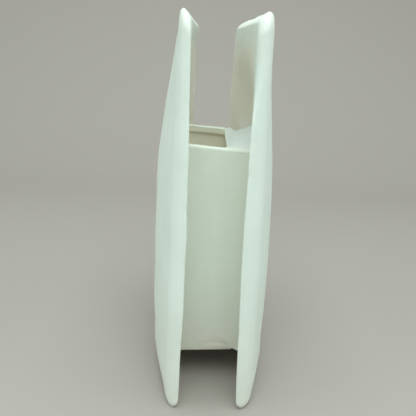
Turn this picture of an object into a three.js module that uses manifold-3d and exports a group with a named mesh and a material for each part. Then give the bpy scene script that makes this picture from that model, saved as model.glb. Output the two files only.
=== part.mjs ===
// Plaster piece: two upright dished slabs that stand on edge, joined by an open-topped box.
//
// In millimetres: +X runs across the slabs, +Y is the depth away from the front, +Z is up, and the
// origin is the middle of the whole piece at floor level.
//
// The slabs face each other across a middle plane, x = 0 while the piece is being built. Each is
// domed outside and hollow inside, so each piece between them is made too wide and then cut back
// to a small clearance from both slabs.

import * as THREE from 'three';
import { mergeVertices } from 'three/addons/utils/BufferGeometryUtils.js';
import Module from 'manifold-3d';

const wasm = await Module();
wasm.setup();

// ---------- driving dimensions ----------

const HEIGHT = 304;            // slabs, floor to top
const DEPTH = 224;             // slabs, front to back
const CLEARANCE = 0.3;         // between neighbouring pieces

const RIM_SPACING = 46.2;      // between the slabs' inner edges at their front corners
const RIM_BOW = 2.1;           // each inner edge swells inwards by this at half height
const RIM_TOE_IN = 2.9;        // and closes in by this from front to back

const TOP_CORNER = 14;         // slab outline, seen from the side: radius of its top corners
const BOTTOM_CORNER = 6;       // and of its bottom ones
const FOOT_TRIM = 0.6;         // sliced off the bottom rim to leave a flat foot

// How the rim turns into the hollow inside and the dome outside: how far each turn draws the rim
// in, and the part of the thickness it takes. The turns are round, but for a flat inner bevel along
// the top.
const UPRIGHT_RIM = { inner: 0.8, innerShare: 0.1, outer: 12, outerShare: 0.9 };
const SOFT_RIM = { inner: 8, innerShare: 0.8, outer: 12, outerShare: 0.9 };
const TOP_RIM = { inner: 8, innerShare: 0.66, outer: 3, outerShare: 0.34, bevelled: true };
const FOOT_RIM = { inner: 5.5, innerShare: 0.45, outer: 6, outerShare: 0.5 };
const SOFTENING = [225, 275];  // heights between which a soft upright rim takes over

// The slabs at a few heights from floor to top: how far the dome stands out from the plane of the
// inner edges at half depth, and how deep the inner face is hollowed there. Edge is the thickness
// of the upright rims, soft how far their upper ends are softened, and lean how far the top of the
// back corner leans inwards.
const SLAB_HEIGHTS = [0, 15, 38, 83, 133, 203, 243, 273, HEIGHT];
const LEFT_SLAB = {
  edge: 8.5,
  dome: [16, 25, 27.5, 29.5, 30, 27, 21, 15.5, 10],
  hollow: [7.5, 13, 14, 14, 14, 12, 7, 2.5, 0],
  soft: 0.2,
  lean: 3.4,
};
const RIGHT_SLAB = {
  edge: 10.5,
  dome: [19, 28, 30, 32.5, 32.8, 28.5, 23, 19, 13],
  hollow: [10.5, 13, 14, 14, 14, 12, 8, 2.5, 0.5],
  soft: 1,
  lean: 0,
};
const LEAN_SPAN = [282, 297];  // heights over which the lean sets in
const LEAN_POWER = 0.7;        // and how it grows from front to back

const BOX_DEPTH = 129;         // outside, front wall to back wall
const TOP_HEIGHT = 202.75;     // box rim above the floor, at the middle plane
const TOP_SLOPE = -0.071;      // it falls to the right
const BOTTOM_HEIGHT = 26.6;    // underside of the box, at the middle plane
const BOTTOM_SLOPE = 0.052;    // it rises to the right

const WALL = 6;                // front and back walls below the lip
const WALL_LIP = 8.5;          // and at the lip round the opening
const LIP_HEIGHT = 7;
const OPENING_RIGHT = 11;      // right side of the opening, from the middle plane
const RIGHT_WALL = 4;          // right wall below the lip
const RIGHT_WALL_LIP = 6.5;
const FLOOR_THICKNESS = 8;

// Plaster packed beside the box: how far its top stands above the box's rim, at the opening and, at
// a few depths from front to back, at the slab.
const PACKING_EDGE = 0.8;
const PACKING_DEPTHS = [-BOX_DEPTH / 2, -40, -10, 12, 48, BOX_DEPTH / 2];
const PACKING_CLIMB = [1.5, 12, 14.5, 9.5, 2.5, 0.8];
const PACKING_WIDTH = 20;      // from the opening to where it meets the slab

const SMEAR_WIDTH = 31;        // crescent of plaster low on the front wall
const SMEAR_HEIGHT = 13;
const SMEAR_THICKNESS = 1.5;
const SMEAR_CENTRE = 5;        // to the right of the middle plane
const SMEAR_LIFT = 0.5;        // its lower edge stays this far above the wall's

const PLASTER = { color: 0xd9ddd0, roughness: 0.78, metalness: 0 };

// ---------- helpers ----------

const { lerp, clamp, smoothstep } = THREE.MathUtils;
const LEFT = -1;
const RIGHT = 1;
const FRONT = -1;
const BACK = 1;
const CUT_WIDTH = RIM_SPACING + 32;   // pieces are made this wide before they are cut back

function named(name, geometry) {
  const mesh = new THREE.Mesh(geometry, new THREE.MeshStandardMaterial(PLASTER));
  mesh.name = name;
  return mesh;
}

function moveVertices(geometry, place) {
  const position = geometry.attributes.position;
  const point = new THREE.Vector3();
  for (let i = 0; i < position.count; i++) {
    place(point.fromBufferAttribute(position, i));
    position.setXYZ(i, point.x, point.y, point.z);
  }
  return geometry;
}

function toSolid(geometry) {
  const bare = new THREE.BufferGeometry();
  bare.setAttribute('position', geometry.attributes.position.clone());
  bare.setIndex(geometry.index);
  const merged = mergeVertices(bare, 1e-4);
  return new wasm.Manifold(new wasm.Mesh({
    numProp: 3,
    vertProperties: new Float32Array(merged.attributes.position.array),
    triVerts: new Uint32Array(merged.index.array),
  }));
}

function toGeometry(solid) {
  const mesh = solid.getMesh();
  const geometry = new THREE.BufferGeometry();
  geometry.setAttribute('position', new THREE.Float32BufferAttribute(mesh.vertProperties, 3));
  geometry.setIndex(Array.from(mesh.triVerts));
  return geometry;
}

// Turns every face over, for a shape that was mirrored.
function turnOver(geometry) {
  const merged = mergeVertices(geometry.deleteAttribute('normal').deleteAttribute('uv'), 1e-4);
  const index = merged.index.array;
  for (let i = 0; i < index.length; i += 3) {
    [index[i], index[i + 1]] = [index[i + 1], index[i]];
  }
  return merged;
}

// A flat outline, given as [across, up] points, with a thickness.
function plate(points, thickness) {
  const shape = new THREE.Shape(points.map(([across, up]) => new THREE.Vector2(across, up)));
  return new THREE.ExtrudeGeometry(shape, { depth: thickness, bevelEnabled: false });
}

// A plate that stands across the gap, with its outline in X and Z, from yLow to yHigh.
function crossPlate(points, yLow, yHigh) {
  return plate(points, yHigh - yLow).rotateX(Math.PI / 2).translate(0, yHigh, 0);
}

const boxTop = (x) => TOP_HEIGHT + TOP_SLOPE * x;
const boxBottom = (x) => BOTTOM_HEIGHT + BOTTOM_SLOPE * x;

// ---------- slabs ----------

// Distance from the middle plane to the plane of a slab's inner edges.
function edgePlane(y, z) {
  const fromMiddle = (2 * z) / HEIGHT - 1;
  const bow = RIM_BOW * (1 - fromMiddle * fromMiddle);
  const toeIn = RIM_TOE_IN * (y / DEPTH + 0.5);
  return RIM_SPACING / 2 - bow - toeIn;
}

// Rounds a rectangle's corner by turning its corner square into a quarter disc.
function roundCorner(value, half, otherValue, otherHalf, radius) {
  const past = (Math.abs(value) - half + radius) / radius;
  const otherPast = (Math.abs(otherValue) - otherHalf + radius) / radius;
  if (past <= 0 || otherPast <= 0) return value;
  const rounded = past * Math.sqrt(1 - (otherPast * otherPast) / 2);
  return Math.sign(value) * (half - radius * (1 - rounded));
}

// How far a rim is drawn in, from the inner face (through = 0) to the dome (through = 1).
function rimInset(rim, through) {
  const arc = (part) => 1 - Math.sqrt(1 - part * part);
  const innerPart = clamp(1 - through / rim.innerShare, 0, 1);
  const outerPart = clamp(1 - (1 - through) / rim.outerShare, 0, 1);
  return rim.inner * (rim.bevelled ? innerPart : arc(innerPart)) + rim.outer * arc(outerPart);
}

function slabGeometry(side, { edge, dome, hollow, soft, lean }) {
  const domeAt = new THREE.CubicInterpolant(SLAB_HEIGHTS, dome, 1);
  const hollowAt = new THREE.CubicInterpolant(SLAB_HEIGHTS, hollow, 1);
  const halfDepth = DEPTH / 2;
  const halfHeight = (HEIGHT + FOOT_TRIM) / 2;
  const block = new THREE.BoxGeometry(1, 2, 2, 8, 18, 22);
  moveVertices(block, (point) => {
    // the smoothstep and the sines pack the grid towards the rim, where the shape turns
    const through = smoothstep(point.x, -0.5, 0.5);
    const evenY = halfDepth * Math.sin((point.y * Math.PI) / 2);
    const evenZ = halfHeight * Math.sin((point.z * Math.PI) / 2);
    const [corner, endRim] = evenZ > 0 ? [TOP_CORNER, TOP_RIM] : [BOTTOM_CORNER, FOOT_RIM];
    const softness = soft * smoothstep(evenZ + halfHeight, ...SOFTENING);
    const insetY = lerp(rimInset(UPRIGHT_RIM, through), rimInset(SOFT_RIM, through), softness);
    const outerY = roundCorner(evenY, halfDepth, evenZ, halfHeight, corner);
    const outerZ = roundCorner(evenZ, halfHeight, evenY, halfDepth, corner);
    const y = outerY * (1 - insetY / halfDepth);
    const fromMiddle = outerZ * (1 - rimInset(endRim, through) / halfHeight);
    const z = Math.max(0, fromMiddle + halfHeight - FOOT_TRIM);

    // both faces fall as parabolas from half depth to the front and back rims
    const height = clamp(z, 0, HEIGHT);
    const swell = 1 - ((2 * y) / DEPTH) ** 2;
    const inner = hollowAt.evaluate(height)[0] * swell;
    const outer = lerp(edge, domeAt.evaluate(height)[0], swell);
    const leaning = lean * smoothstep(z, ...LEAN_SPAN) * (y / DEPTH + 0.5) ** LEAN_POWER;
    point.set(side * (edgePlane(y, z) + lerp(inner, outer, through) - leaning), y, z);
  });
  return side === LEFT ? turnOver(block) : block;
}

const leftSlab = slabGeometry(LEFT, LEFT_SLAB);
const rightSlab = slabGeometry(RIGHT, RIGHT_SLAB);

// Both slabs, each moved in by the clearance, ready to be cut from whatever stands between them.
const slabSpace = toSolid(leftSlab.clone().translate(CLEARANCE, 0, 0))
  .add(toSolid(rightSlab.clone().translate(-CLEARANCE, 0, 0)));

function cutBack(solid) {
  return toGeometry(solid.subtract(slabSpace));
}

// ---------- box ----------

// The band of a wall between two heights that follow the box's sloping rim and underside.
function band(xLow, xHigh, lower, upper) {
  return [[xLow, lower(xLow)], [xHigh, lower(xHigh)], [xHigh, upper(xHigh)], [xLow, upper(xLow)]];
}

const lipBottom = (x) => boxTop(x) - LIP_HEIGHT;
const floorTop = (x) => boxBottom(x) + FLOOR_THICKNESS;
const OUTSIDE = BOX_DEPTH / 2;
const HALF_CUT = CUT_WIDTH / 2;
const RIGHT_WALL_OUTSIDE = OPENING_RIGHT + RIGHT_WALL_LIP;

// Front or back wall: thin below, with a thicker lip at the rim.
function crossWall(end) {
  const slice = (points, thickness) => (end === FRONT
    ? crossPlate(points, -OUTSIDE, thickness - OUTSIDE)
    : crossPlate(points, OUTSIDE - thickness, OUTSIDE));
  const body = toSolid(slice(band(-HALF_CUT, HALF_CUT, boxBottom, boxTop), WALL));
  const lip = toSolid(slice(band(-HALF_CUT, HALF_CUT, lipBottom, boxTop), WALL_LIP));
  return cutBack(body.add(lip));
}

// Right wall, standing between the front and back walls, with the same lip.
function rightWall() {
  const bodyLeft = RIGHT_WALL_OUTSIDE - RIGHT_WALL;
  const bodyEnd = OUTSIDE - WALL - CLEARANCE;
  const lipEnd = OUTSIDE - WALL_LIP - CLEARANCE;
  const underLip = (x) => lipBottom(x) - CLEARANCE;
  const body = toSolid(crossPlate(
    band(bodyLeft, RIGHT_WALL_OUTSIDE, boxBottom, underLip), -bodyEnd, bodyEnd));
  const lip = toSolid(crossPlate(
    band(OPENING_RIGHT, RIGHT_WALL_OUTSIDE, lipBottom, boxTop), -lipEnd, lipEnd));
  const neck = toSolid(crossPlate(
    band(bodyLeft, RIGHT_WALL_OUTSIDE, underLip, lipBottom), -lipEnd, lipEnd));
  return toGeometry(body.add(neck).add(lip));
}

function floorPanel() {
  const end = OUTSIDE - WALL - CLEARANCE;
  const right = RIGHT_WALL_OUTSIDE - RIGHT_WALL - CLEARANCE;
  return cutBack(toSolid(crossPlate(band(-HALF_CUT, right, boxBottom, floorTop), -end, end)));
}

// Plaster packed between the right wall and the right slab. Its cap starts as a thin layer on the
// right wall's lip and slopes up to the slab.
function rightInfill() {
  const left = RIGHT_WALL_OUTSIDE + CLEARANCE;
  const bodyEnd = OUTSIDE - WALL - CLEARANCE;
  const neckEnd = OUTSIDE - WALL_LIP - CLEARANCE;
  const underLip = (x) => lipBottom(x) - CLEARANCE;
  const inCap = (x) => boxTop(x) + (CLEARANCE + PACKING_EDGE) / 2;
  const body = toSolid(crossPlate(band(left, HALF_CUT, boxBottom, underLip), -bodyEnd, bodyEnd));
  const neck = toSolid(crossPlate(band(left, HALF_CUT, underLip, inCap), -neckEnd, neckEnd));

  const climb = new THREE.CubicInterpolant(PACKING_DEPTHS, PACKING_CLIMB, 1);
  const cap = new THREE.BoxGeometry(1, 1, 1, 10, 24, 1);
  moveVertices(cap, (point) => {
    const x = lerp(OPENING_RIGHT, HALF_CUT, point.x + 0.5);
    const y = point.y * BOX_DEPTH;
    const toSlab = clamp((x - OPENING_RIGHT) / PACKING_WIDTH, 0, 1);
    const top = lerp(PACKING_EDGE, climb.evaluate(y)[0], toSlab);
    point.set(x, y, boxTop(x) + (point.z > 0 ? top : CLEARANCE));
  });
  return cutBack(body.add(neck).add(toSolid(cap)));
}

// ---------- smear ----------

// A low crescent with a round top edge, left where the floor's joint was wiped.
function footSmear() {
  const half = SMEAR_WIDTH / 2;
  const low = boxBottom(SMEAR_CENTRE) + SMEAR_LIFT;
  const outline = new THREE.Shape();
  outline.moveTo(SMEAR_CENTRE - half, low);
  outline.lineTo(SMEAR_CENTRE + half, low);
  outline.absellipse(SMEAR_CENTRE, low, half, SMEAR_HEIGHT, 0, Math.PI, false);
  const smear = new THREE.ExtrudeGeometry(outline, {
    depth: SMEAR_THICKNESS, curveSegments: 16, bevelEnabled: false,
  });
  return smear.rotateX(Math.PI / 2).translate(0, -OUTSIDE - CLEARANCE, 0);
}

// ---------- assembly ----------

const piece = new THREE.Group();
piece.add(
  named('left_slab', leftSlab),
  named('right_slab', rightSlab),
  named('front_wall', crossWall(FRONT)),
  named('back_wall', crossWall(BACK)),
  named('right_wall', rightWall()),
  named('floor_panel', floorPanel()),
  named('right_infill', rightInfill()),
  named('foot_smear', footSmear()),
);

// The right slab bulges further than the left, so the middle plane isn't the middle of the piece.
const middle = new THREE.Box3().setFromObject(piece).getCenter(new THREE.Vector3());
piece.position.set(-middle.x, 0, 0);

export default piece;
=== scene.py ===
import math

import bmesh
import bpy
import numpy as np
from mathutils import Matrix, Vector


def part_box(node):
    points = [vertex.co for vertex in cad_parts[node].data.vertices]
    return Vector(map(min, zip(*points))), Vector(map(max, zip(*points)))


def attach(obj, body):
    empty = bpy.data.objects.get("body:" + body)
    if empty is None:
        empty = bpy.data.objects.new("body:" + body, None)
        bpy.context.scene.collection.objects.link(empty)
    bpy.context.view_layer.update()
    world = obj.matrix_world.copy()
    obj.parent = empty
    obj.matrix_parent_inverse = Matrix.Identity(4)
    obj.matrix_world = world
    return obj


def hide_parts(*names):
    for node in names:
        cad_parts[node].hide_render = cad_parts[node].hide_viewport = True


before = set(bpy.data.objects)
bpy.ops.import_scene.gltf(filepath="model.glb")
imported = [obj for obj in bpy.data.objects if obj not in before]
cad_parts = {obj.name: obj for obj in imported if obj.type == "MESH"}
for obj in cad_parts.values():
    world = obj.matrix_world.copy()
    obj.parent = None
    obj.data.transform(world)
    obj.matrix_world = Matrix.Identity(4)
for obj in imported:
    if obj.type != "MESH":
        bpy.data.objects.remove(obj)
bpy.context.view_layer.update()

# Looks for the plaster piece: two upright dished slabs on edge, joined by an open-topped box.
#
# Everything is in metres in the CAD frame: +X runs across the slabs, +Y is away from the front and
# +Z is up. Each CAD node is stood for by a finer mesh of the same shape, with the waviness, dents,
# ripples and rounded edges of hand-worked plaster. Shapes are built about the middle plane between
# the slabs (x = 0) and moved to the CAD's place for that plane when they are made.

MM = 0.001

# ---------- sizes, from the frame and, but for the lip height, as in the CAD part ----------

LEFT_SLAB_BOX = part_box("left_slab")
RIGHT_SLAB_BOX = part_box("right_slab")
MIDDLE = (LEFT_SLAB_BOX[1].x + RIGHT_SLAB_BOX[0].x) / 2
HEIGHT = LEFT_SLAB_BOX[1].z
DEPTH = LEFT_SLAB_BOX[1].y - LEFT_SLAB_BOX[0].y
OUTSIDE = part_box("back_wall")[1].y          # outer face of the back wall; the front one mirrors it

RIM_SPACING = 46.2 * MM
RIM_BOW = 2.1 * MM
RIM_TOE_IN = 2.9 * MM
TOP_CORNER = 14 * MM
BOTTOM_CORNER = 6 * MM
FOOT_TRIM = 0.6 * MM

# Rim turns: inner draw, its share of the thickness, outer draw and its share.
UPRIGHT_RIM = (0.8 * MM, 0.1, 12 * MM, 0.9)
SOFT_RIM = (8 * MM, 0.8, 12 * MM, 0.9)
TOP_RIM = (8 * MM, 0.66, 3 * MM, 0.34)
FOOT_RIM = (5.5 * MM, 0.45, 6 * MM, 0.5)
SOFTENING = (225 * MM, 275 * MM)
SOFT = {-1: 0.2, 1: 1}
LEAN = {-1: 3.4 * MM, 1: 0}
LEAN_SPAN = (282 * MM, 297 * MM)
LEAN_POWER = 0.7

SLAB_HEIGHTS = np.array([0, 15, 38, 83, 133, 203, 243, 273, 304]) * MM
DOME = {
    -1: np.array([16, 25, 27.5, 29.5, 30, 27, 21, 15.5, 10]) * MM,
    1: np.array([19, 28, 30, 32.5, 32.8, 28.5, 23, 19, 13]) * MM,
}
HOLLOW = {
    -1: np.array([7.5, 13, 14, 14, 14, 12, 7, 2.5, 0]) * MM,
    1: np.array([10.5, 13, 14, 14, 14, 12, 8, 2.5, 0.5]) * MM,
}
EDGE = {-1: 8.5 * MM, 1: 10.5 * MM}

TOP_HEIGHT = 202.75 * MM
TOP_SLOPE = -0.071
BOTTOM_HEIGHT = 26.6 * MM
BOTTOM_SLOPE = 0.052
WALL = 6 * MM
WALL_LIP = 8.5 * MM
LIP_HEIGHT = 5.8 * MM          # the CAD's is 7 mm, which is a little too tall
LIP_SLANT = 2.5 * MM           # the lips of the cross walls are blended into them below
OPENING_RIGHT = 11 * MM
RIGHT_WALL = 4 * MM
RIGHT_WALL_LIP = 6.5 * MM
FLOOR_THICKNESS = 8 * MM
PACKING_EDGE = 0.8 * MM
PACKING_DEPTHS = np.array([-64.5, -40, -10, 12, 48, 64.5]) * MM
PACKING_CLIMB = np.array([1.5, 12, 14.5, 9.5, 2.5, 0.8]) * MM

SEAM = 0.06 * MM              # left between neighbours, so that no faces coincide
LEFT, RIGHT = -1, 1
FRONT, BACK = -1, 1
SEED = 41


# ---------- helpers: numbers ----------

def smoothstep(value, low, high):
    part = np.clip((value - low) / (high - low), 0, 1)
    return part * part * (3 - 2 * part)


def window(value, low, high, soft):
    """1 between low and high, falling to 0 over soft at both ends."""
    return smoothstep(value, low - soft, low) * (1 - smoothstep(value, high, high + soft))


def lerp(start, end, part):
    return start + (end - start) * part


def smooth_curve(at, places, values):
    """A smooth curve through the values, each slope taken from the values beside it."""
    slopes = np.gradient(values, places)
    i = np.clip(np.searchsorted(places, at) - 1, 0, len(places) - 2)
    span = places[i + 1] - places[i]
    p = np.clip((at - places[i]) / span, 0, 1)
    return ((2 * p**3 - 3 * p**2 + 1) * values[i] + (p**3 - 2 * p**2 + p) * span * slopes[i]
            + (3 * p**2 - 2 * p**3) * values[i + 1] + (p**3 - p**2) * span * slopes[i + 1])


def soft_noise(points, wavelength, seed, waves=26):
    """Smooth random bumps of about that wavelength, mostly between -1 and 1."""
    draw = np.random.default_rng(SEED + seed)
    directions = draw.normal(size=(waves, 3))
    directions /= np.linalg.norm(directions, axis=1)[:, None]
    rates = 2 * math.pi / wavelength * draw.uniform(0.6, 1.5, (waves, 1))
    phases = draw.uniform(0, 2 * math.pi, waves)
    return np.sin(points @ (directions * rates).T + phases).sum(axis=1) / math.sqrt(2 * waves)


# ---------- helpers: meshes ----------

def box_shell(across, deep, high):
    """Grid points over the six faces of a unit box, and the quads between them."""
    counts = (across, deep, high)
    index, points, quads = {}, [], []

    def corner(axis, end, u, i, v, j):
        point = [0, 0, 0]
        point[axis], point[u], point[v] = end, i, j
        key = tuple(point)
        if key not in index:
            index[key] = len(points)
            points.append(key)
        return index[key]

    for axis in range(3):
        u, v = (axis + 1) % 3, (axis + 2) % 3
        for end in (0, counts[axis]):
            for i in range(counts[u]):
                for j in range(counts[v]):
                    quad = [corner(axis, end, u, i + di, v, j + dj)
                            for di, dj in ((0, 0), (1, 0), (1, 1), (0, 1))]
                    quads.append(quad if end else quad[::-1])
    return np.array(points) / counts, quads


def skin(rings):
    """Points and faces of a closed skin over a row of rings, with a cap at each end."""
    rows, size = rings.shape[:2]
    faces = [
        (row * size + i, row * size + (i + 1) % size,
         (row + 1) * size + (i + 1) % size, (row + 1) * size + i)
        for row in range(rows - 1) for i in range(size)
    ]
    faces.append(tuple(range(size)))
    faces.append(tuple((rows - 1) * size + i for i in range(size)))
    return rings.reshape(-1, 3), faces


def rounded_outline(corners, spacing):
    """A closed outline with rounded corners, given as (a, b, radius), and points no more than
    spacing apart along its straight runs."""
    count = len(corners)
    arcs = []
    for i, (a, b, radius) in enumerate(corners):
        here = np.array((a, b))
        before = np.array(corners[i - 1][:2]) - here
        after = np.array(corners[(i + 1) % count][:2]) - here
        before /= np.linalg.norm(before)
        after /= np.linalg.norm(after)
        steps = 5
        arcs.append([
            here + radius * (before * (1 - math.sin(turn)) + after * (1 - math.cos(turn)))
            for turn in np.linspace(0, math.pi / 2, steps + 1)
        ])
    outline = []
    for i, arc in enumerate(arcs):
        outline.extend(arc)
        start, end = arc[-1], arcs[(i + 1) % count][0]
        pieces = max(1, math.ceil(np.linalg.norm(end - start) / spacing))
        outline.extend(lerp(start, end, k / pieces) for k in range(1, pieces))
    return np.array(outline)


def make_piece(name, node, points, faces, material, relief=None, inside=None):
    """Adds a mesh that stands for a CAD node. relief(points, normals) gives each point's height, and
    inside(points, normals) how much of its material's within_tone each point takes, from 0 to 1: painted
    light in the hollow between the slabs and in the box's cavity, painted shade on the smear's edge, and
    the box's colour at the packing's front."""
    mesh = bpy.data.meshes.new(name)
    mesh.from_pydata(points.tolist(), [], faces)
    form = bmesh.new()
    form.from_mesh(mesh)
    bmesh.ops.remove_doubles(form, verts=form.verts, dist=0.002 * MM)
    bmesh.ops.dissolve_degenerate(form, edges=form.edges, dist=0.002 * MM)
    bmesh.ops.recalc_face_normals(form, faces=form.faces)
    bmesh.ops.triangulate(form, faces=[f for f in form.faces if len(f.verts) > 4])
    form.to_mesh(mesh)
    form.free()
    count = len(mesh.vertices)
    at, normals = np.zeros(count * 3), np.zeros(count * 3)
    mesh.vertices.foreach_get("co", at)
    mesh.vertex_normals.foreach_get("vector", normals)
    at, normals = at.reshape(-1, 3), normals.reshape(-1, 3)
    within = np.zeros(count) if inside is None else inside(at, normals)
    mesh.attributes.new("inside", "FLOAT", "POINT").data.foreach_set("value", within)
    if relief is not None:
        at = at + normals * relief(at, normals)[:, None]
        at[:, 2] = np.maximum(at[:, 2], 0)
        mesh.vertices.foreach_set("co", at.ravel())
    mesh.transform(Matrix.Translation((MIDDLE, 0, 0)))
    mesh.shade_smooth()
    mesh.set_sharp_from_angle(angle=math.radians(50))
    mesh.update()
    piece = bpy.data.objects.new(name, mesh)
    bpy.context.scene.collection.objects.link(piece)
    mesh.materials.append(material)
    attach(piece, "root")
    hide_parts(node)
    return piece


# ---------- plaster ----------

def node_between(nodes, kind, place, **settings):
    node = nodes.new(kind)
    node.location = place
    for name, value in settings.items():
        setattr(node, name, value)
    return node


def plaster(name, slot, pale, shade, pits, streaks, roughness, within_tone):
    """Matt plaster: cloudy tone, fine grain, scattered pinholes and faint upright trowel streaks.
    Painted shade makes it darker towards the floor and the top, and warmer towards the floor. It turns
    to within_tone where the mesh's mask says so: painted light or shade on most pieces."""
    material = bpy.data.materials.new(name)
    material.use_nodes = True
    material["slot"] = slot
    nodes, links = material.node_tree.nodes, material.node_tree.links
    shader = nodes["Principled BSDF"]
    where = node_between(nodes, "ShaderNodeTexCoord", (-1500, 0))

    def noise(scale, detail, stretch=(1, 1, 1)):
        mapping = node_between(nodes, "ShaderNodeMapping", (-1300, 0))
        mapping.inputs["Scale"].default_value = stretch
        links.new(where.outputs["Object"], mapping.inputs["Vector"])
        texture = node_between(nodes, "ShaderNodeTexNoise", (-1100, 0))
        texture.inputs["Scale"].default_value = scale
        texture.inputs["Detail"].default_value = detail
        links.new(mapping.outputs["Vector"], texture.inputs["Vector"])
        return texture.outputs["Fac"]

    def spread(value, low, high, to_low, to_high):
        ranged = node_between(nodes, "ShaderNodeMapRange", (-900, 0), clamp=True)
        for socket, number in zip(("From Min", "From Max", "To Min", "To Max"),
                                  (low, high, to_low, to_high)):
            ranged.inputs[socket].default_value = number
        links.new(value, ranged.inputs["Value"])
        return ranged.outputs["Result"]

    def combine(operation, first, second):
        sum_node = node_between(nodes, "ShaderNodeMath", (-700, 0), operation=operation)
        for socket, value in zip(sum_node.inputs, (first, second)):
            if isinstance(value, (int, float)):
                socket.default_value = value
            else:
                links.new(value, socket)
        return sum_node.outputs["Value"]

    def tint(base, toward, amount):
        mix = node_between(nodes, "ShaderNodeMix", (-400, 0), data_type="RGBA")
        for socket, value in (("Factor", amount), ("A", base), ("B", toward)):
            target = next(i for i in mix.inputs if i.name == socket and i.enabled)
            if isinstance(value, tuple):
                target.default_value = (*value, 1)
            else:
                links.new(value, target)
        return next(o for o in mix.outputs if o.enabled)

    cloud = spread(noise(26, 4), 0.36, 0.66, 0, 1)
    grain = noise(950, 3)
    streak = noise(330, 2, (1, 1, 0.035))
    wide_streak = noise(110, 2, (1, 1, 0.03))
    pinhole = node_between(nodes, "ShaderNodeTexVoronoi", (-1100, -300))
    pinhole.inputs["Scale"].default_value = 210
    links.new(where.outputs["Object"], pinhole.inputs["Vector"])
    pit = spread(pinhole.outputs["Distance"], 0.07, 0.13, 1, 0)
    pit = combine("MULTIPLY", pit, spread(noise(60, 1), 0.5, 0.62, 0, pits))

    color = tint(pale, shade, cloud)
    color = tint(color, tuple(0.9 * c for c in shade), spread(grain, 0.45, 0.8, 0, 0.35))
    color = tint(color, tuple(1.04 * c for c in pale), spread(streak, 0.5, 0.75, 0, streaks))
    color = tint(color, tuple(0.93 * c for c in shade), spread(wide_streak, 0.48, 0.7, 0, streaks))
    # Painted shade: the pinholes are darkened, as shade inside the small holes.
    color = tint(color, tuple(0.55 * c for c in shade), combine("MULTIPLY", pit, 0.6))
    # Painted shade: darker near the top, and darker and warmer towards the floor.
    place = node_between(nodes, "ShaderNodeSeparateXYZ", (-1300, -500))
    links.new(where.outputs["Object"], place.inputs["Vector"])
    high = spread(place.outputs["Z"], *TOP_SHADE_REACH, 0, 1)
    color = tint(color, tuple(c * part for c, part in zip(pale, TOP_PAINTED_SHADE)), high)
    low = spread(place.outputs["Z"], *FOOT_SHADE_REACH, 1, 0)
    color = tint(color, tuple(c * part for c, part in zip(pale, FOOT_PAINTED_SHADE)), low)
    # within_tone by the mesh's mask: painted light in the hollows, painted shade on the smear's edge,
    # the box's colour at the packing's front.
    within = node_between(nodes, "ShaderNodeAttribute", (-900, -500), attribute_name="inside")
    color = tint(color, within_tone, within.outputs["Fac"])
    links.new(color, shader.inputs["Base Color"])
    links.new(spread(grain, 0.3, 0.7, roughness - 0.08, roughness + 0.08), shader.inputs["Roughness"])
    shader.inputs["Specular IOR Level"].default_value = 0.35

    height = combine("ADD", combine("MULTIPLY", grain, 0.35), combine("MULTIPLY", streak, 0.5 * streaks))
    height = combine("SUBTRACT", height, pit)
    bump = node_between(nodes, "ShaderNodeBump", (-200, -300))
    bump.inputs["Strength"].default_value = 0.6
    bump.inputs["Distance"].default_value = 0.25 * MM
    links.new(height, bump.inputs["Height"])
    links.new(bump.outputs["Normal"], shader.inputs["Normal"])
    return material


SLAB_HOLLOW_PAINTED_LIGHT = (0.89, 0.865, 0.78)       # painted bounce light: the slabs' faces towards each other are tinted yellower for light reflected between them
# painted light: the cavity's inner walls and floor are tinted lighter and yellower for light falling
# into the opening
CAVITY_PAINTED_LIGHT = (0.97, 0.935, 0.79)
FOOT_PAINTED_SHADE = (0.93, 0.875, 0.855)     # painted shade: plaster tones are darker and warmer by this near the floor, for shade and warm light from below
TOP_PAINTED_SHADE = (0.93, 0.895, 0.885)     # and painted shade darkens them by this near the top
FOOT_SHADE_REACH = (10 * MM, 105 * MM)  # full at the first height and gone at the second
TOP_SHADE_REACH = (270 * MM, 300 * MM)  # begins at the first height and is full at the second
PACKING_FRONT = (0.77, 0.815, 0.745)      # where the packing is smoothed into the front wall
# painted shade along the smear's upper edge
SMEAR_EDGE_PAINTED_SHADE = (0.62, 0.61, 0.54)
SLAB_PLASTER = plaster("slab_plaster", "slab_plaster", (0.76, 0.84, 0.79), (0.73, 0.81, 0.755),
                       pits=0.8, streaks=0.5, roughness=0.72, within_tone=SLAB_HOLLOW_PAINTED_LIGHT)
BOX_PLASTER = plaster("box_plaster", "box_plaster", (0.79, 0.835, 0.765), (0.755, 0.795, 0.72),
                      pits=0.5, streaks=0.15, roughness=0.78, within_tone=CAVITY_PAINTED_LIGHT)
JOINT_PLASTER = plaster("joint_plaster", "joint_plaster", (0.635, 0.68, 0.665), (0.605, 0.65, 0.63),
                        pits=0.7, streaks=0.0, roughness=0.85, within_tone=PACKING_FRONT)
SMEAR_PLASTER = plaster("smear_plaster", "joint_plaster", (0.79, 0.80, 0.71), (0.75, 0.76, 0.67),
                        pits=0.2, streaks=0.0, roughness=0.8, within_tone=SMEAR_EDGE_PAINTED_SHADE)


# ---------- slabs ----------

SLAB_GRID = (18, 120, 200)     # points through the thickness, along the depth and up the height


def edge_plane(y, z):
    """Distance from the middle plane to the plane of a slab's inner edges."""
    from_middle = 2 * z / HEIGHT - 1
    return (RIM_SPACING / 2 - RIM_BOW * (1 - from_middle**2)
            - RIM_TOE_IN * (y / DEPTH + 0.5))


def swell(y):
    """1 at half depth, falling as a parabola to 0 at the front and back rims."""
    return 1 - (2 * y / DEPTH) ** 2


def inner_face(side, y, z):
    """Distance from the middle plane to a slab's hollowed inner face."""
    return edge_plane(y, z) + swell(y) * smooth_curve(
        np.clip(z, 0, HEIGHT), SLAB_HEIGHTS, HOLLOW[side])


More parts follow.
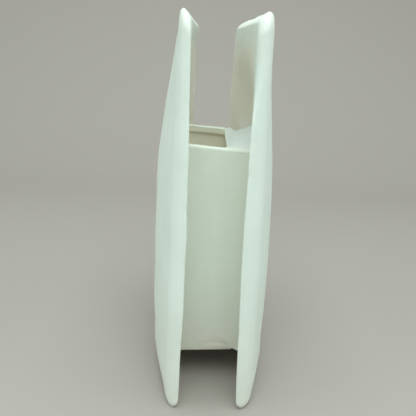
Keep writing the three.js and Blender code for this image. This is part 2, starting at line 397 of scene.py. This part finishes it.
def round_corner(value, half, other, other_half, radius):
    """Turns the square at a rectangle's corner into a quarter disc."""
    past = (np.abs(value) - half + radius) / radius
    other_past = (np.abs(other) - other_half + radius) / radius
    rounded = past * np.sqrt(np.clip(1 - other_past**2 / 2, 0, 1))
    moved = np.sign(value) * (half - radius * (1 - rounded))
    return np.where((past > 0) & (other_past > 0), moved, value)


def arc_drop(part):
    """How far a quarter circle has dropped, from 0 at part 0 to 1 at part 1."""
    return 1 - np.sqrt(1 - np.clip(part, 0, 1) ** 2)


def rim_inset(rim, through, bevel=0):
    """How far a rim is drawn in, from the inner face (through 0) to the dome (through 1). With
    bevel 1, the inner turn is flat, with a rounded crest."""
    inner, inner_share, outer, outer_share = rim
    inner_part = np.clip(1 - through / inner_share, 0, 1)
    flat = np.sqrt(inner_part**2 + 0.006) - math.sqrt(0.006)
    return (inner * lerp(arc_drop(inner_part), flat, bevel)
            + outer * arc_drop(1 - (1 - through) / outer_share))


def slab_mesh(side):
    grid, quads = box_shell(*SLAB_GRID)
    through = smoothstep(grid[:, 0], 0, 1)

    def packed(part):
        value = 2 * part - 1
        return 0.45 * value + 0.55 * np.sin(value * math.pi / 2)

    half_depth, half_height = DEPTH / 2, (HEIGHT + FOOT_TRIM) / 2
    even_y, even_z = half_depth * packed(grid[:, 1]), half_height * packed(grid[:, 2])
    upper = even_z > 0
    corner = np.where(upper, TOP_CORNER, BOTTOM_CORNER)
    outer_y = round_corner(even_y, half_depth, even_z, half_height, corner)
    outer_z = round_corner(even_z, half_height, even_y, half_depth, corner)
    softness = SOFT[side] * smoothstep(even_z + half_height, *SOFTENING)
    inset_y = lerp(rim_inset(UPRIGHT_RIM, through), rim_inset(SOFT_RIM, through), softness)
    inset_z = np.where(upper, rim_inset(TOP_RIM, through, 0.6), rim_inset(FOOT_RIM, through))
    y = outer_y * (1 - inset_y / half_depth)
    z = np.maximum(0, outer_z * (1 - inset_z / half_height) + half_height - FOOT_TRIM)
    dome = smooth_curve(np.clip(z, 0, HEIGHT), SLAB_HEIGHTS, DOME[side])
    outer_face = edge_plane(y, z) + lerp(EDGE[side], dome, swell(y))
    leaning = LEAN[side] * smoothstep(z, *LEAN_SPAN) * (y / DEPTH + 0.5) ** LEAN_POWER
    x = side * (lerp(inner_face(side, y, z), outer_face, through) - leaning)
    if side == LEFT:
        quads = [quad[::-1] for quad in quads]
    return np.stack((x, y, z), axis=1), quads


def dents(points, centres, radius, depth):
    """Small hollows about the given places."""
    total = np.zeros(len(points))
    for centre, size in centres:
        gap = np.linalg.norm(points - centre, axis=1) / (radius * size)
        total -= depth * size * np.exp(-gap**2)
    return total


def rim_knocks(side, count, seed):
    """Random places round a slab's rim, with a size for each."""
    draw = np.random.default_rng(SEED + seed)
    places = []
    for _ in range(count):
        along, size = draw.uniform(-1, 1), draw.uniform(0.5, 1.3)
        if draw.random() < 0.6:
            y, z = draw.choice((-1, 1)) * DEPTH / 2, HEIGHT / 2 * (1 + along)
        else:
            y, z = DEPTH / 2 * along, HEIGHT
        through = draw.choice((0, 1)) * EDGE[side]
        places.append((np.array((side * (edge_plane(y, z) + through), y, z)), size))
    return places


def slab_relief(side, ripples, seed):
    knocks = rim_knocks(side, 26, seed)

    def relief(points, normals):
        x, y, z = points.T
        outward = side * normals[:, 0]
        # where the box is joined on, the inner face stays true
        joined = (1 - smoothstep(outward, -0.9, -0.5)) * window(y, -0.066, 0.066, 0.006) * window(
            z, 0.024, 0.226, 0.006)
        height = 0.28 * MM * soft_noise(points, 70 * MM, seed)
        height += 0.10 * MM * soft_noise(points, 24 * MM, seed + 1)
        height += 0.05 * MM * soft_noise(points, 9 * MM, seed + 2)
        dome = smoothstep(outward, 0.86, 0.96)
        for pitch, amount, low, high in ripples:
            wave = np.sin(2 * math.pi * z / pitch + 2.2 * soft_noise(points, 55 * MM, seed + 3))
            wave *= smoothstep(y, *RIPPLES_BEGIN) * (1 - smoothstep(y, *RIPPLES_END))
            wave *= 0.55 + 0.45 * soft_noise(points, 35 * MM, seed + 4)
            height += amount * wave * dome * window(z, low, high, 8 * MM)
        height += dents(points, knocks, 2.6 * MM, 0.5 * MM)
        return height * (1 - joined)

    return relief


RIPPLES_BEGIN = (-75 * MM, -10 * MM)      # the ripples fade in and out along the depth
RIPPLES_END = (35 * MM, 100 * MM)
# pitch, height, and the heights between which they lie
LEFT_RIPPLES = [(7 * MM, 0.26 * MM, 0.212, 0.266), (4.6 * MM, 0.12 * MM, 0.006, 0.030)]
RIGHT_RIPPLES = [(8 * MM, 0.08 * MM, 0.19, 0.27), (5 * MM, 0.12 * MM, 0.008, 0.028)]


# Mask of painted bounce light: a slab's inner face, back from the front rim and below the top, takes the
# yellower tone.
def slab_painted_bounce_light(side):
    def inside(points, normals):
        _, y, z = points.T
        facing = smoothstep(-side * normals[:, 0], 0.88, 0.98)
        from_front = smoothstep(y, -0.49 * DEPTH, -0.3 * DEPTH)
        return facing * from_front * (1 - smoothstep(z, 270 * MM, 296 * MM))

    return inside


def add_slabs():
    for name, side, ripples, seed in (("left_slab", LEFT, LEFT_RIPPLES, 100),
                                      ("right_slab", RIGHT, RIGHT_RIPPLES, 200)):
        make_piece(name + "_plaster", name, *slab_mesh(side), SLAB_PLASTER,
                   slab_relief(side, ripples, seed), slab_painted_bounce_light(side))


# ---------- box ----------

def box_top(x):
    return TOP_HEIGHT + TOP_SLOPE * x


def box_bottom(x):
    return BOTTOM_HEIGHT + BOTTOM_SLOPE * x


def sloped(x, z):
    """Height at x of what is at height z on the middle plane, between the sloping rim and underside."""
    up = (z - BOTTOM_HEIGHT) / (TOP_HEIGHT - BOTTOM_HEIGHT)
    return z + lerp(BOTTOM_SLOPE, TOP_SLOPE, up) * x


AT_SLAB = 30 * MM              # about where the box meets the slabs


def across_gap(outline, stations, right_end=None):
    """Sweeps an outline in Y and Z across the gap, from slab to slab or to a right end."""
    y, z = outline.T
    left = -inner_face(LEFT, y, sloped(-AT_SLAB, z)) + SEAM
    right = inner_face(RIGHT, y, sloped(AT_SLAB, z)) - SEAM
    if right_end is not None:
        right = np.full_like(y, right_end)
    rings = []
    for part in np.linspace(0, 1, stations):
        x = lerp(left, right, part)
        rings.append(np.stack((x, y, sloped(x, z)), axis=1))
    return skin(np.array(rings))


WALL_ROUND = 1.5 * MM          # front and back walls' outer top edges


def cross_wall(end):
    """Front or back wall with rounded edges and a thicker lip at its rim."""
    face, body, lip = OUTSIDE, OUTSIDE - WALL, OUTSIDE - WALL_LIP
    under_lip = TOP_HEIGHT - LIP_HEIGHT
    outline = rounded_outline([
        (end * face, BOTTOM_HEIGHT, 1.2 * MM), (end * face, TOP_HEIGHT, WALL_ROUND),
        (end * lip, TOP_HEIGHT, 1.3 * MM), (end * lip, under_lip, 1.0 * MM),
        (end * body, under_lip - LIP_SLANT, 0.8 * MM), (end * body, BOTTOM_HEIGHT, 0.8 * MM),
    ], 2.5 * MM)
    points, faces = across_gap(outline, 34)
    points[:, 2] = dipped(*points.T)
    return points, faces


NOTCH_CENTRE = 19.3 * MM         # nick in the front wall's bottom edge
NOTCH_HALF = 3.0 * MM
NOTCH_DEPTH = 3.0 * MM
RUN_DOWN = 1.2 * MM               # to its right the edge hangs lower
RUN_DOWN_SPAN = (6 * MM, 6.5 * MM)        # measured from the nick
RUN_DOWN_FADE = 3.5 * MM
COVERED_ACROSS = (11 * MM, 15 * MM)       # the packing lies on the cross walls to the right of this
COVERED_BELOW_RIM = (12 * MM, 6 * MM)
COVERED_SHARE = 0.85


DIP_CENTRE = 23 * MM             # dip in the back of the packing
DIP_HALF = 2.8 * MM
DIP_DEPTH = 4.4 * MM
DIP_REACH = 9 * MM               # how far below the rim it is felt
DIP_BEGINS = (26 * MM, 60 * MM)  # grows from the first depth to the second


def back_dip(x, y):
    """The back of the box has a small dip beside the right slab."""
    return DIP_DEPTH * np.exp(-((x - DIP_CENTRE) / DIP_HALF) ** 2) * smoothstep(y, *DIP_BEGINS)


def dipped(x, y, z):
    """Height z, lowered where the back of the box dips, less so further below the rim."""
    return z - back_dip(x, y) * np.clip(1 - (box_top(x) - z) / DIP_REACH, 0, 1)


def slant(y):
    """The right wall isn't quite square to the front: it stands further left at its front end."""
    return lerp(-2.6 * MM, 0.6 * MM, (y / OUTSIDE + 1) / 2)


def wall_relief(end, seed):
    def relief(points, normals):
        x, y, z = points.T
        height = 0.14 * MM * soft_noise(points, 55 * MM, seed)
        height += 0.05 * MM * soft_noise(points, 15 * MM, seed + 1)
        rim = smoothstep(z, box_top(x) - 3 * MM, box_top(x))
        height += rim * 0.16 * MM * soft_noise(points, 14 * MM, seed + 2)
        bottom = 1 - smoothstep(z, box_bottom(x), box_bottom(x) + 4 * MM)
        height += bottom * 0.18 * MM * soft_noise(points, 12 * MM, seed + 3)
        # where the packing lies on the rim, the wall stays true
        low, high = (box_top(x) - below for below in COVERED_BELOW_RIM)
        height *= 1 - COVERED_SHARE * smoothstep(x, *COVERED_ACROSS) * smoothstep(z, low, high)
        if end == FRONT:
            nick = np.exp(-((x - NOTCH_CENTRE) / NOTCH_HALF) ** 2)
            beside = RUN_DOWN * window(
                x, NOTCH_CENTRE + RUN_DOWN_SPAN[0], NOTCH_CENTRE + RUN_DOWN_SPAN[1], RUN_DOWN_FADE)
            height -= (NOTCH_DEPTH * nick - beside) * bottom * smoothstep(-normals[:, 2], 0, 0.7)
        return height

    return relief


def below_rim(points):
    """1 well below the box's sloping rim, falling to 0 at it."""
    x, _, z = points.T
    return 1 - smoothstep(z, box_top(x) - 4 * MM, box_top(x) - 0.5 * MM)


def wall_painted_cavity_light(end):
    """Mask of painted light: a cross wall's side towards the cavity, below the rim, takes the lighter,
    yellower cavity tone.
    """
    def inside(points, normals):
        facing = smoothstep(-end * normals[:, 1], 0.5, 0.9)
        return facing * below_rim(points)

    return inside


def right_wall():
    """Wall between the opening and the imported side. Its lip stops short of the cross walls' lips."""
    outer = OPENING_RIGHT + RIGHT_WALL_LIP
    body = outer - RIGHT_WALL
    under_lip = TOP_HEIGHT - LIP_HEIGHT
    outline = rounded_outline([
        (outer, BOTTOM_HEIGHT, 0.5 * MM), (outer, TOP_HEIGHT, 0.5 * MM),
        (OPENING_RIGHT, TOP_HEIGHT, 1.3 * MM), (OPENING_RIGHT, under_lip, 1.0 * MM),
        (body, under_lip, 0.8 * MM), (body, BOTTOM_HEIGHT, 0.5 * MM),
    ], 2.5 * MM)
    body_end = OUTSIDE - WALL - SEAM
    lip_end = OUTSIDE - WALL_LIP - SEAM
    rings = []
    for y in (-body_end, *np.linspace(-lip_end, lip_end, 46), body_end):
        x, z = outline.T
        x, z = x.copy(), sloped(x, z)
        if abs(y) > lip_end:
            x, z = np.maximum(x, body), np.minimum(z, sloped(x, under_lip - LIP_SLANT) - SEAM)
        x = x + slant(y)
        rings.append(np.stack((x, np.full_like(x, y), dipped(x, y, z)), axis=1))
    # the ends of the lip are square steps, so each end ring is repeated where the lip stops
    steps = [rings[0], rings[0] * (1, lip_end / body_end, 1), *rings[1:-1],
             rings[-1] * (1, lip_end / body_end, 1), rings[-1]]
    return skin(np.array(steps))


def floor_panel():
    end = OUTSIDE - WALL - SEAM
    top = BOTTOM_HEIGHT + FLOOR_THICKNESS
    outline = rounded_outline([
        (-end, BOTTOM_HEIGHT, 0.6 * MM), (-end, top, 0.6 * MM),
        (end, top, 0.6 * MM), (end, BOTTOM_HEIGHT, 0.6 * MM),
    ], 3 * MM)
    right_end = OPENING_RIGHT + RIGHT_WALL_LIP - RIGHT_WALL - SEAM
    points, faces = across_gap(outline, 16, right_end)
    points[:, 0] += slant(points[:, 1]) * smoothstep(points[:, 0], 0, right_end)
    return points, faces


def gentle_relief(seed, amount=0.15 * MM):
    def relief(points, normals):
        return (amount * soft_noise(points, 40 * MM, seed)
                + 0.4 * amount * soft_noise(points, 12 * MM, seed + 1))

    return relief


def lining_painted_cavity_light(points, normals):
    """Mask of painted light: the sides of the right wall and the floor that face the cavity, below the
    rim, take the lighter, yellower cavity tone.
    """
    facing = np.maximum(smoothstep(-normals[:, 0], 0.5, 0.9), smoothstep(normals[:, 2], 0.5, 0.9))
    return facing * below_rim(points)


def add_box():
    for node, end, seed in (("front_wall", FRONT, 300), ("back_wall", BACK, 320)):
        make_piece(node + "_plaster", node, *cross_wall(end), BOX_PLASTER, wall_relief(end, seed),
                   wall_painted_cavity_light(end))
    make_piece("right_wall_plaster", "right_wall", *right_wall(), BOX_PLASTER, gentle_relief(340),
               lining_painted_cavity_light)
    make_piece("floor_panel_plaster", "floor_panel", *floor_panel(), BOX_PLASTER, gentle_relief(350),
               lining_painted_cavity_light)


# ---------- packed plaster and smear ----------

FRONT_SPREAD = 9 * MM          # the packing spreads this far left over the front rim
FRONT_ROUND = 3.0 * MM         # and its front and back edges are rounded


def infill():
    """Plaster packed between the right wall and the right slab. Its top starts as a thin layer on
    the right wall's lip and slopes up to the slab."""
    walls_right = OPENING_RIGHT + RIGHT_WALL_LIP + SEAM
    body_end = OUTSIDE - WALL_LIP - SEAM
    over = 0.06 * MM               # the layer lies this far above what is under it
    step = 0.03 * MM               # the solid part ends this abruptly at the cross walls
    depths = np.concatenate((
        -OUTSIDE + FRONT_ROUND * (1 - np.cos(np.linspace(0, math.pi / 2, 8)))[:-1],
        np.linspace(FRONT_ROUND - OUTSIDE, -body_end - step, 10),
        np.linspace(-body_end, body_end, 110),
        np.linspace(body_end + step, OUTSIDE - FRONT_ROUND, 10),
        OUTSIDE - FRONT_ROUND * (1 - np.sin(np.linspace(0, math.pi / 2, 8)))[1:]))
    places = np.stack((depths, 0 * depths, 0 * depths), axis=1)
    climb = smooth_curve(depths, PACKING_DEPTHS, PACKING_CLIMB)
    climb += 0.35 * MM * soft_noise(places, 13 * MM, 400)
    spread = FRONT_SPREAD * smoothstep(-depths, body_end - 4 * MM, OUTSIDE)
    left_edge = OPENING_RIGHT + 0.9 * MM - spread + 0.3 * MM * soft_noise(places, 16 * MM, 401)
    past = np.clip((np.abs(depths) - OUTSIDE + FRONT_ROUND) / FRONT_ROUND, 0, 1)
    across, down = np.linspace(0, 1, 30), np.linspace(0, 1, 14)[1:]
    rings = []
    for y, high, left, round_down in zip(depths, climb, left_edge, arc_drop(past)):
        wall, left = walls_right + slant(y), left + slant(y)
        slab_at = inner_face(RIGHT, y, box_top(AT_SLAB) + high) - SEAM
        x = lerp(left, slab_at, across)
        edge = PACKING_EDGE * np.minimum(1, 0.15 + 3 * across)
        rise = lerp(edge, np.maximum(high, edge), across**1.15)
        behind = min(OUTSIDE - abs(y), WALL_ROUND)
        fall = WALL_ROUND - math.sqrt(WALL_ROUND**2 - (WALL_ROUND - behind) ** 2)
        rise = np.maximum(rise - FRONT_ROUND * round_down, 2 * over - fall)

        def underside(at):
            return box_top(at) + over - fall - back_dip(at, y)

        in_box = abs(y) <= body_end + 1e-9
        low_right = box_bottom(slab_at) if in_box else underside(slab_at)
        right_z = lerp(box_top(slab_at) + rise[-1] - back_dip(slab_at, y), low_right, down)
        right_x = inner_face(RIGHT, y, right_z) - SEAM
        floor_x = lerp(right_x[-1], wall, down)
        floor_z = box_bottom(floor_x) if in_box else underside(floor_x)
        left_z = lerp(floor_z[-1], underside(wall), down)
        layer_x = lerp(wall, left, down)[:-1]
        rings.append(np.column_stack((
            np.concatenate((x, right_x, floor_x, np.full(len(left_z), wall), layer_x)),
            np.full(len(x) + 4 * len(down) - 1, y),
            np.concatenate((box_top(x) + rise - back_dip(x, y), right_z, floor_z, left_z,
                            underside(layer_x))))))
    return skin(np.array(rings))


SMEAR_HALF = 15.5 * MM
SMEAR_HEIGHT = 13 * MM
SMEAR_CENTRE = 5 * MM
SMEAR_LENS = 1.0 * MM         # the fuller part low down
SMEAR_ROLL = 0.4 * MM          # and the thin roll along the upper edge


def foot_smear():
    """A faint crescent low on the front wall: a thin roll along its upper edge, then a hollow, then
    a fuller lens."""
    across, up = 44, 22
    front, back = [], []
    low = box_bottom(SMEAR_CENTRE) + 0.6 * MM
    for j in range(up + 1):
        v = j / up
        for i in range(across + 1):
            u = 2 * i / across - 1
            x = SMEAR_CENTRE + SMEAR_HALF * u
            edge = math.sqrt(max(0, 1 - u * u))
            z = low + BOTTOM_SLOPE * (x - SMEAR_CENTRE) + SMEAR_HEIGHT * v * edge
            lens = math.exp(-(((v - 0.28) / 0.2) ** 2)) * (0.55 + 0.45 * u)
            roll = math.exp(-(((v - 0.75) / 0.22) ** 2)) * (0.8 + 0.2 * u)
            thick = edge * (0.05 * MM + SMEAR_LENS * lens + SMEAR_ROLL * roll)
            thick *= min(1, 3 * (1 - v)) * min(1, 5 * v)
            front.append((x, -OUTSIDE - SEAM - 0.02 * MM - thick, z))
            back.append((x, -OUTSIDE - SEAM, z))
    points = np.array(front + back)
    size, offset = across + 1, len(front)
    faces = []
    for j in range(up):
        for i in range(across):
            a = j * size + i
            quad = (a, a + 1, a + size + 1, a + size)
            faces.append(quad)
            faces.append(tuple(offset + k for k in reversed(quad)))
    border = ([i for i in range(across)] + [j * size + across for j in range(up)]
              + [up * size + i for i in range(across, 0, -1)] + [j * size for j in range(up, 0, -1)])
    for a, b in zip(border, border[1:] + border[:1]):
        faces.append((b, a, offset + a, offset + b))
    return points, faces


def smear_edge_painted_shade(points, normals):
    """Mask of painted shade: the smear's upper edge is darkened with a painted shadow, most of all to
    the right.
    """
    x, _, z = points.T
    low = box_bottom(x) + 0.6 * MM
    to_right = (x - SMEAR_CENTRE) / SMEAR_HALF
    out = np.hypot(to_right, (z - low) / SMEAR_HEIGHT)
    return (0.5 + 0.4 * to_right) * window(out, 0.72, 0.84, 0.26) * smoothstep(z - low, 0, 3 * MM)


def near_front(points, normals):
    """Marks the packing's front edge, which is smoothed into the front wall."""
    return smoothstep(-points[:, 1], OUTSIDE - 3.5 * MM, OUTSIDE - 0.5 * MM)


def add_joints():
    make_piece("right_infill_plaster", "right_infill", *infill(), JOINT_PLASTER,
               gentle_relief(360, 0.1 * MM), near_front)
    make_piece("foot_smear_plaster", "foot_smear", *foot_smear(), SMEAR_PLASTER,
               inside=smear_edge_painted_shade)


# ---------- stage, lights and camera ----------

def add_stage():
    """A pale floor that curves up into a backdrop."""
    reach, bend, wall_at = 3.0, 0.5, 1.1
    outline = [(-reach, 0), (wall_at - bend, 0)]
    outline += [(wall_at - bend + bend * math.sin(a), bend * (1 - math.cos(a)))
                for a in np.linspace(0, math.pi / 2, 17)[1:]]
    outline.append((wall_at, 3.0))
    points = [(x, y, z) for y, z in outline for x in (-reach, reach)]
    faces = [(2 * i, 2 * i + 1, 2 * i + 3, 2 * i + 2) for i in range(len(outline) - 1)]
    mesh = bpy.data.meshes.new("floor")
    mesh.from_pydata(points, [], faces)
    mesh.shade_smooth()
    floor = bpy.data.objects.new("floor", mesh)
    bpy.context.scene.collection.objects.link(floor)
    material = bpy.data.materials.new("pale_floor")
    material.use_nodes = True
    shader = material.node_tree.nodes["Principled BSDF"]
    shader.inputs["Base Color"].default_value = (0.37, 0.335, 0.315, 1)
    shader.inputs["Roughness"].default_value = 0.9
    mesh.materials.append(material)


def add_light(name, place, target, width, height, power, color):
    data = bpy.data.lights.new(name, "AREA")
    data.shape = "RECTANGLE"
    data.size, data.size_y = width, height
    data.energy = power
    data.color = color
    lamp = bpy.data.objects.new(name, data)
    lamp.location = place
    lamp.rotation_euler = (Vector(target) - Vector(place)).to_track_quat("-Z", "Y").to_euler()
    bpy.context.scene.collection.objects.link(lamp)


SKYLIGHT = (0.90, 1, 0.96)


def add_lights():
    centre = (0, 0, 0.15)
    add_light("key", (0, -0.75, 1.25), centre, 0.9, 0.9, 9.2, SKYLIGHT)
    add_light("left", (-1.3, -0.45, 0.55), centre, 0.9, 0.9, 3.7, SKYLIGHT)
    add_light("right", (1.3, -0.45, 0.55), centre, 0.9, 0.9, 3.7, SKYLIGHT)
    add_light("top", (0, 0.1, 1.4), centre, 0.9, 0.9, 8.6, SKYLIGHT)
    world = bpy.data.worlds.new("studio")
    world.use_nodes = True
    world.node_tree.nodes["Background"].inputs["Color"].default_value = (*SKYLIGHT, 1)
    world.node_tree.nodes["Background"].inputs["Strength"].default_value = 0.68
    bpy.context.scene.world = world


CAMERA_PLACE = Vector((-0.01896, -0.51438, 0.27945))
CAMERA_TURN = math.radians(1.709)      # towards +X
CAMERA_DIP = math.radians(15.579)      # below the horizontal
CAMERA_ROLL = math.radians(2.619)
CAMERA_LENS = 50.22                    # on a 36 mm sensor


def add_camera():
    data = bpy.data.cameras.new("camera")
    data.sensor_width = 36
    data.lens = CAMERA_LENS
    camera = bpy.data.objects.new("camera", data)
    turn = (Matrix.Rotation(-CAMERA_TURN, 4, "Z") @ Matrix.Rotation(math.pi / 2 - CAMERA_DIP, 4, "X")
            @ Matrix.Rotation(CAMERA_ROLL, 4, "Z"))
    camera.matrix_world = Matrix.Translation(CAMERA_PLACE) @ turn
    bpy.context.scene.collection.objects.link(camera)
    bpy.context.scene.camera = camera


add_camera()
add_slabs()
add_box()
add_joints()
add_stage()
add_lights()
bpy.context.scene.view_settings.view_transform = "Standard"
